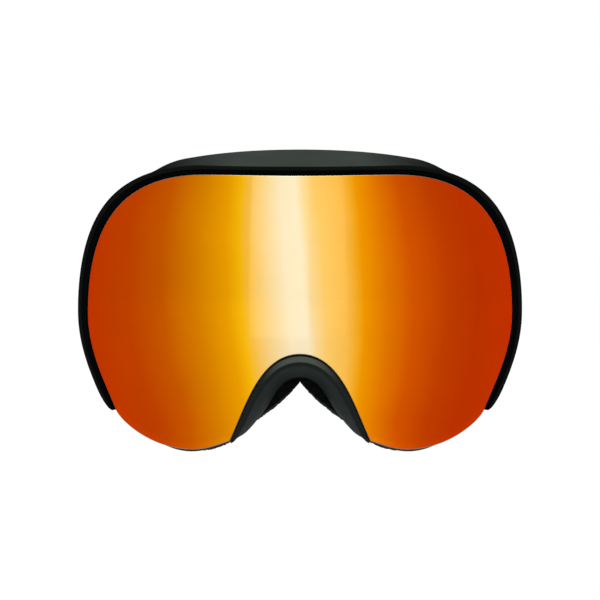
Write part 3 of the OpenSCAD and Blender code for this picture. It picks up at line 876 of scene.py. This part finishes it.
def outer_rim():
    s = stations(-TAIL, TAIL, FINE)
    w = rim_width(s)
    skirt = 0.6 + (0.2 - 0.6) * ramp(np.abs(s), 6, 14) - 0.5 * (1 - tail(s))

    def rear(out):
        return mix(on_lens(s, out + 0.3, LAND + 1), on_face(s, out, REAR_E), 0.45 + 0.55 * tail(s))

    def lip(share):
        return LIP_W + (w - LIP_W) * share

    # black is the rim plastic painted darker for shade; grey is the same plastic painted lighter for the
    # light from overhead.
    black, grey = 0, 1
    # Each corner has a place, a radius, a material and a least painted shade.
    corners = [
        (on_lens(s, LIP_W, 0.15), 0.1, black, 0), (on_lens(s, lip(0.3), -0.2), 0.2, black, 0),
        (on_lens(s, lip(0.42), -0.05), 0.15, black, 0), (on_lens(s, lip(0.5), -0.55), 0.2, grey, 1),
        (on_lens(s, lip(0.9), -0.7), 0.5, grey, 1), (on_lens(s, w, 0), 0.35, grey, 1),
        (on_lens(s, w - 0.12, 0.55), 0.12, grey, 0), (on_lens(s, w + 0.02, 0.75), 0.1, grey, 0),
        (mix(on_lens(s, w, 1.8), rear(skirt + 0.9), 0.5), 6, grey, 0), (rear(skirt + 0.4), 0.6, black, 0),
        (rear(skirt - 0.9), 0.4, black, 0),
        (mix(on_lens(s, -0.75, LAND + 1), rear(skirt - 0.9), 0.5), 0, black, 0),
        (on_lens(s, -0.75, LAND + 1), 0.3, black, 0), (on_lens(s, -0.65, LENS_T + 0.5), 0.15, black, 0),
        (on_lens(s, 0.25, LENS_T + 0.4), 0, black, 0), (on_lens(s, LIP_W, LENS_T - 0.2), 0, black, 0),
    ]
    cuts = 4
    rows = rounded(np.stack([c[0] for c in corners], axis=1), [c[1] for c in corners], cuts)
    counts = [cuts + 1 if c[1] else 1 for c in corners]
    finish = [c[2] for c, count in zip(corners, counts) for _ in range(count)]
    least_painted_shade = np.array([c[3] for c, count in zip(corners, counts) for _ in range(count)])
    n, m = rows.shape[:2]
    kinds = (MATERIALS["rim"], MATERIALS["crescent"])
    obj = new_piece("hard_outer_rim", rows.reshape(-1, 3), skin_faces(n, m, False),
                    finish * (n - 1) + [grey, grey], kinds)
    # Painted shade: the grey darkens towards the sides, 24 to 54 millimetres out, and on the shoulder
    # corners.
    painted_shading = np.maximum(np.interp(np.abs(rows[..., 0]), (24, 39, 54), (0, 0.5, 1)), least_painted_shade)
    place_painted_shading(obj, rows, painted_shading)
    cutters = []
    for side in (1, -1):
        xs = sorted((side * NOTCH_LOW[0], side * NOTCH_HIGH[0]))
        cutters.append(block((xs[0], *NOTCH_LOW[1:]), (xs[1], *NOTCH_HIGH[1:])))
        for z in (-RIVET_Z, RIVET_Z):
            ends = [(side * x, RIVET_Y, z) for x in (RIVET_FROM, RIVET_TO)]
            cutters.append(rod(*ends, RIVET_HOLE_R))
    cut_away(obj, cutters)
    sharp_by_angle(obj, 35)
    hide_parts("outer_rim")
    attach(obj, "frame")


def nose_bridge():
    s = stations(FOOT, 2 * HALF - FOOT, FINE)
    far = np.abs(s - NOSE) / STEPS[-1]
    full = np.sqrt(np.maximum(THINNEST, 1 - far**4))
    bulge = 1.6 * ramp(far, 0.2, 0.55) * (1 - ramp(far, 0.8, 1))
    deep_front, deep_back = on_lens(s, -0.6, LAND + 3), on_face(s, -0.15, -5)
    columns = [
        (on_lens(s, 0.4, 0.4), 0.15), (on_lens(s, 0.4 + 0.4 * full, -0.3 * full), 0.25),
        (on_lens(s, 0.4 + 2.4 * full, -2.3 * full), 1.1), (on_lens(s, 0.4 + 3.9 * full, -2.1 * full), 1.4),
        (mix(on_lens(s, 4.2 * full + bulge, 1), on_face(s, 1.1 * full + bulge, -4), 0.5), 5),
        (on_face(s, 0.1 + 0.4 * full + bulge, -2.8), 0.5), (on_face(s, -0.1, -3.1), 0), (deep_back, 0),
        (mix(deep_front, deep_back, 0.5), 0), (deep_front, 0),
        (on_lens(s, -0.6, LENS_T + 1), 0), (on_lens(s, 0.3, LENS_T + 0.4), 0),
    ]
    cuts = 5
    rows = rounded(np.stack([c for c, _ in columns], axis=1), [r for _, r in columns], cuts)
    obj = swept("soft_nose_bridge", rows, MATERIALS["soft"])
    # The roll's upper face is painted paler over the middle of the nose: painted light from overhead.
    painted_top_light = np.zeros(rows.shape[1])
    painted_top_light[cuts + 2:2 * (cuts + 1) + 3] = 1
    place_painted_shading(obj, rows, painted_top_light[None] * (1 - ramp(far, 0.08, 0.46))[:, None])
    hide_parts("nose_bridge")
    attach(obj, "frame")


def vent_foam(name, node, first, last, low, high, side=1):
    s = stations(first, last) * side

    def inside(share, w):
        front = on_lens(s, CARRIER_OUT - WALL - 0.5 + w, LAND + LAND_T + 1.6)
        return mix(front, on_face(s, -1.5 - WALL + w, -4.6), share)

    rows = np.stack([inside(low, 0), inside(high, 0), inside(high, -2.2), inside(low, -2.2)], axis=1)
    obj = swept(name, divided(rounded(rows, (0.3,) * 4), 0.8), MATERIALS["foam_soft"])
    roughened(obj, 0.08, 0.9, 2)
    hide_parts(node)
    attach(obj, "frame")


# ---- Face foam ----
def foam_ring(name, node, e0, thick, inner, o0, o1, material, rough, radius):
    """Ring of foam from depth e0, its outer edge inset by o0 in front and o1 behind."""
    s = FINE_RING
    e1 = e0 + thick
    columns = [
        (on_foam(s, o0, e0), radius[0]), (on_foam(s, (o0 + o1) / 2 + 0.2, (e0 + e1) / 2), 2.0),
        (on_foam(s, o1, e1), radius[1]),
    ]
    columns += [(on_foam(s, -w, e1), 0) for w in ACROSS]
    columns += [(on_foam(s, -inner, e1), radius[1]), (on_foam(s, -inner, e0), radius[0])]
    columns += [(on_foam(s, -w, e0), 0) for w in ACROSS[::-1]]
    rows = rounded(np.stack([c for c, _ in columns], axis=1), [r for _, r in columns])
    obj = swept(name, divided(rows, 0.7), material, ring=True, edge_angle=70)
    roughened(obj, *rough)
    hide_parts(node)
    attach(obj, "frame")


def face_foam():
    e = FOAM_GAP
    foam_ring("foam_firm_layer", "foam_base", e, BASE_T, FLANGE_W, -0.6, -0.4,
              MATERIALS["foam"], (0.45, 1.1, 3), (0.3, 0.3))
    e += BASE_T + FOAM_GAP
    foam_ring("foam_soft_layer", "foam_middle", e, MIDDLE_T, FLANGE_W + 1, -0.5, -0.7,
              MATERIALS["foam_soft"], (0.45, 1.1, 4), (0.3, 0.5))
    e += MIDDLE_T + FOAM_GAP
    foam_ring("fleece_face_layer", "fleece_lining", e, FLEECE_T, FLANGE_W + 1.6, -0.7, -1.6,
              MATERIALS["fleece"], (0.1, 0.9, 5), (0.5, 0.9))


# ---- Strap ----
STRAP_W, STRAP_T, STRAP_REACH = 40.0, 1.6, 190.0
BAR_X, BAR_Y, BAR_R = 77.6, 48.0, 1.4
FOLD_R = BAR_R + 0.2 + STRAP_T / 2
STRAP_X = BAR_X + FOLD_R
BEND_Y = 100.0
JOIN_ANGLE = 40.0
ADJUSTER_Y, CENTRE_BAR_R = 72.0, 1.1
CENTRE_X = STRAP_X - STRAP_T / 2 - GLUE - STRAP_T - GLUE - CENTRE_BAR_R
ROUND_DEEP = STRAP_REACH - BEND_Y - STRAP_T    # half depth of the rear round's middle line
TAIL_T = 1.4
SEAM_ROWS = (1.2, 3.4)          # degrees behind the join
SEAM_LOW, SEAM_HIGH = -17.6, 16.5
STITCH_PITCH, STITCH_SHARE = 2.3, 0.72
GRIP_HEIGHTS, GRIP_ENDS = (-9, 0, 9), (129, 51)
GRIP_W, GRIP_T = 3.4, 0.5


def strap_round(a):
    """Middle line of the strap's rear round at angles a, seen from above."""
    return np.stack([STRAP_X * np.cos(a), BEND_Y + ROUND_DEEP * np.sin(a)], axis=1)


def strap_outward(a):
    """Unit steps outwards from that line."""
    normal = np.stack([np.cos(a) * ROUND_DEEP, np.sin(a) * STRAP_X], axis=1)
    return normal / np.linalg.norm(normal, axis=1, keepdims=True)


def ellipse_path(first, last, step=1.5):
    """The rear round between two angles from the right, in degrees."""
    return strap_round(np.radians(np.linspace(first, last, int(abs(last - first) / step) + 1)))


def front_path(fold_step=12):
    """From the rear stretch forward to the arm's bar and round it."""
    round_ = ellipse_path(JOIN_ANGLE, 0)
    straight = [(STRAP_X, y) for y in np.arange(BEND_Y - 1.5, BAR_Y, -1.5)]
    fold = []
    for degrees in np.arange(0, 181, fold_step):
        a = math.radians(degrees)
        fold.append((BAR_X + FOLD_R * math.cos(a), BAR_Y - FOLD_R * math.sin(a)))
    return np.concatenate([round_, straight, fold])


def strip_profile(width, thick):
    """Closed outline across a woven strip, (offset, height), with thin round selvedges."""
    half, edge = width / 2, 1.6
    heights = np.linspace(-half + edge, half - edge, 30)
    upper = [(thick / 2, z) for z in heights]
    lower = [(-thick / 2, z) for z in heights[::-1]]
    round_ = []
    for degrees in (75, 50, 25, 0, -25, -50, -75):
        a = math.radians(degrees)
        round_.append((thick * 0.38 * math.sin(a), half - edge * 0.6 + edge * 0.6 * math.cos(a)))
    other = [(-o, -z) for o, z in round_]
    return np.array(upper + round_ + lower + other)


def strap_piece(name, path, material, start_along=0.0, width=STRAP_W, thick=STRAP_T, height=0.0):
    """Sweeps a strip along a path seen from above, and keeps its measures for the weave."""
    step = np.gradient(path, axis=0)
    step /= np.linalg.norm(step, axis=1, keepdims=True)
    normal = np.stack([step[:, 1], -step[:, 0]], axis=1)
    outline = strip_profile(width, thick)
    xy = path[:, None, :] + outline[None, :, :1] * normal[:, None, :]
    z = np.broadcast_to(outline[None, :, 1:] + height, (len(path), len(outline), 1))
    rows = np.concatenate([xy, z], axis=2)
    n, m = rows.shape[:2]
    obj = bare_piece(name, rows.reshape(-1, 3), skin_faces(n, m, False), kinds=(material,))
    gone = np.concatenate([[0], np.cumsum(np.linalg.norm(np.diff(path, axis=0), axis=1))])
    float_attribute(obj, "along", np.repeat((gone + start_along) * MM, m))
    float_attribute(obj, "across", np.tile(outline[:, 1] * MM, n))
    tidy_normals(obj)
    sharp_by_angle(obj, 60)
    return obj


def strap():
    rear = ellipse_path(180 - JOIN_ANGLE - 0.05, JOIN_ANGLE + 0.05)
    obj = strap_piece("elastic_strap_rear", rear, MATERIALS["webbing"])
    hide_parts("strap_rear")
    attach(obj, "frame")
    length = np.linalg.norm(np.diff(rear, axis=0), axis=1).sum()
    for side, word in ((1, "right"), (-1, "left")):
        path = front_path() * (side, 1)
        obj = strap_piece(f"elastic_strap_front_{word}", path, MATERIALS["webbing"], length)
        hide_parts(f"strap_front_{word}")
        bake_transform(obj)
        tail_piece(side, word)


def tail_piece(side, word):
    """The strap's end: back from the bar inside, then round the adjuster's centre bar."""
    inner_x = BAR_X - FOLD_R
    leg = [(inner_x, y) for y in np.arange(BAR_Y + 0.05, ADJUSTER_Y - 5, 1.0)]
    loop = []
    radius = CENTRE_BAR_R + GLUE + 0.75
    for degrees in np.arange(200, -141, -20):
        a = math.radians(degrees)
        loop.append((CENTRE_X + radius * math.cos(a), ADJUSTER_Y + radius * math.sin(a)))
    path = np.array(leg + loop) * (side, 1)
    obj = strap_piece(f"elastic_strap_tail_{word}", path, MATERIALS["webbing"], thick=TAIL_T)
    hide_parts(f"strap_tail_{word}")
    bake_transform(obj)


def stitches(name, ends, radius=0.24, sides=8):
    """Thread stitches between pairs of places, each a little raised in its middle."""
    points, faces = [], []
    for a, b, up in ends:
        a, b, up = (np.array(v, float) for v in (a, b, up))
        along = (b - a) / np.linalg.norm(b - a)
        side = np.cross(along, up)
        for share in (0, 0.2, 0.5, 0.8, 1):
            middle = a + (b - a) * share + up * radius * (1.4 * math.sin(math.pi * share) - 0.4)
            thick = radius * (0.6 + 0.4 * math.sin(math.pi * share))
            for k in range(sides):
                turn = 2 * math.pi * k / sides
                points.append(middle + thick * (math.cos(turn) * up + math.sin(turn) * side))
        base = len(points) - 5 * sides
        faces += [tuple(base + v for v in f) for f in skin_faces(5, sides, False)]
    obj = new_piece(name, points, faces, kinds=(MATERIALS["thread"],))
    return obj


def strap_seams():
    """Two rows of thread, inside and outside, where the rear stretch is sewn to each front one."""
    angles = np.radians([JOIN_ANGLE + row for row in SEAM_ROWS])
    stitch = (0, 0, STITCH_SHARE * STITCH_PITCH)
    for side, word in ((1, "right"), (-1, "left")):
        ends = []
        for middle, out in zip(strap_round(angles), strap_outward(angles)):
            middle, out = (np.array([side * v[0], v[1], 0]) for v in (middle, out))
            for face in (1, -1):
                for z in np.arange(SEAM_LOW, SEAM_HIGH, STITCH_PITCH):
                    at = middle + face * out * (STRAP_T / 2) + (0, 0, z)
                    ends.append((at, at + stitch, face * out))
        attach(stitches(f"strap_seam_{word}", ends), "frame")


def silicone_lines():
    """Raised lines of silicone printed inside the rear of the strap."""
    a = np.radians(np.linspace(*GRIP_ENDS, 60))
    path = strap_round(a) - strap_outward(a) * (STRAP_T / 2 + 0.2)
    for k, height in enumerate(GRIP_HEIGHTS):
        obj = strap_piece(f"silicone_line_{k}", path, MATERIALS["silicone"],
                          width=GRIP_W, thick=GRIP_T, height=height)
        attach(obj, "frame")
        if k == 0:
            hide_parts("silicone_grip")


# ---- Hard parts kept from the CAD model ----
def soften(node, material, width=0.25):
    """Gives a CAD part its material and small rounded edges."""
    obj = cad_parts[node]
    obj.data.materials.clear()
    obj.data.materials.append(material)
    weld = obj.modifiers.new("weld", "WELD")
    weld.merge_threshold = 1e-6
    bevel = obj.modifiers.new("bevel", "BEVEL")
    bevel.width = width * MM
    bevel.segments = 3
    bevel.limit_method = "ANGLE"
    bevel.angle_limit = math.radians(40)
    bevel.harden_normals = True
    obj.data.polygons.foreach_set("use_smooth", [True] * len(obj.data.polygons))


def hard_parts():
    for word in ("left", "right"):
        soften(f"outrigger_{word}", MATERIALS["hard"], 0.35)
        soften(f"hinge_bracket_{word}", MATERIALS["hard"], 0.3)
        soften(f"slider_{word}", MATERIALS["hard"], 0.3)
        soften(f"hinge_pin_{word}", MATERIALS["steel"], 0.15)
    soften("bracket_rivets", MATERIALS["steel"], 0.12)
    soften("lens_magnets", MATERIALS["nickel"], 0.1)
    soften("frame_magnets", MATERIALS["nickel"], 0.1)


# ---- Stage ----
def floor():
    """A wide pale floor below the goggles."""
    rings, sides, reach = 24, 96, 120.0
    points = [(0, 0, FLOOR_Z / MM)]
    for k in range(1, rings + 1):
        r = reach * (k / rings) ** 4
        for j in range(sides):
            angle = 2 * math.pi * j / sides
            points.append((r * math.cos(angle) / MM, r * math.sin(angle) / MM, FLOOR_Z / MM))
    faces = [(0, 1 + j, 1 + (j + 1) % sides) for j in range(sides)]
    for k in range(rings - 1):
        a, b = 1 + k * sides, 1 + (k + 1) * sides
        faces += [(a + j, b + j, b + (j + 1) % sides, a + (j + 1) % sides) for j in range(sides)]
    new_piece("floor", points, faces, kinds=(pale_floor(),))


def area_light(name, at, target, size, power):
    light = bpy.data.lights.new(name, "AREA")
    light.shape = "RECTANGLE"
    light.size, light.size_y = size
    light.energy = power
    obj = bpy.data.objects.new(name, light)
    obj.location = at
    obj.rotation_euler = (Vector(target) - Vector(at)).to_track_quat("-Z", "Y").to_euler()
    obj.visible_camera = False
    bpy.context.scene.collection.objects.link(obj)


def radiance_power(radiance, size):
    """Watts that give an area light this radiance."""
    return radiance * math.pi * size[0] * size[1]


AMBIENT = 0.17                  # share of the white surroundings that lights dull surfaces
OVERHEAD, OVERHEAD_SPREAD, OVERHEAD_TILT = 3.1, 50, 4     # strength, then degrees
# Panels in front of the lens: left and right edge in degrees, and radiance.
PANELS = (("main", -23, 4, 0.12), ("fill", 4, 21, 0.05))
PANEL_Y, PANEL_TALL = -1.6, 2.4


def lights():
    """White all round for the mirror and the background, with most of the light from overhead."""
    world = bpy.data.worlds.new("studio")
    world.use_nodes = True
    tree = world.node_tree
    background = tree.nodes["Background"]
    background.inputs["Color"].default_value = (1, 1, 1, 1)
    diffuse = add(tree, "LightPath").outputs["Is Diffuse Ray"]
    tree.links.new(between(tree, diffuse, 1.0, AMBIENT, 0, 1), background.inputs["Strength"])
    bpy.context.scene.world = world
    for name, left, right, radiance in PANELS:
        x0, x1 = (-PANEL_Y * math.tan(math.radians(a)) for a in (left, right))
        size = (x1 - x0, PANEL_TALL)
        place = ((x0 + x1) / 2, PANEL_Y, 0)
        area_light(name, place, (place[0], 0, 0), size, radiance_power(radiance, size))
    overhead = bpy.data.lights.new("overhead", "SUN")
    overhead.energy = OVERHEAD
    overhead.angle = math.radians(OVERHEAD_SPREAD)
    obj = bpy.data.objects.new("overhead", overhead)
    obj.rotation_euler = (math.radians(OVERHEAD_TILT), 0, 0)
    bpy.context.scene.collection.objects.link(obj)


def camera():
    data = bpy.data.cameras.new("camera")
    data.sensor_width = SENSOR
    data.lens = SENSOR * (CAMERA_AWAY - FRAME_PLANE) / CAMERA_FRAME
    data.clip_end = 50
    obj = bpy.data.objects.new("camera", data)
    obj.location = (0, -CAMERA_AWAY, 0)
    obj.rotation_euler = (math.pi / 2, 0, 0)
    bpy.context.scene.collection.objects.link(obj)
    bpy.context.scene.camera = obj


outer_lens()
inner_lens()
lens_spacer()
lens_carrier()
inner_frame()
outer_rim()
nose_bridge()
vent_foam("brow_vent_pad", "brow_vent_foam", -7, 7, 0.35, 0.85)
vent_foam("cheek_vent_pad_right", "cheek_vent_foam_right", 27, 37, 0.2, 0.85)
vent_foam("cheek_vent_pad_left", "cheek_vent_foam_left", 27, 37, 0.2, 0.85, -1)
face_foam()
strap()
strap_seams()
silicone_lines()
hard_parts()
floor()
lights()
camera()
bpy.context.scene.view_settings.view_transform = "Standard"
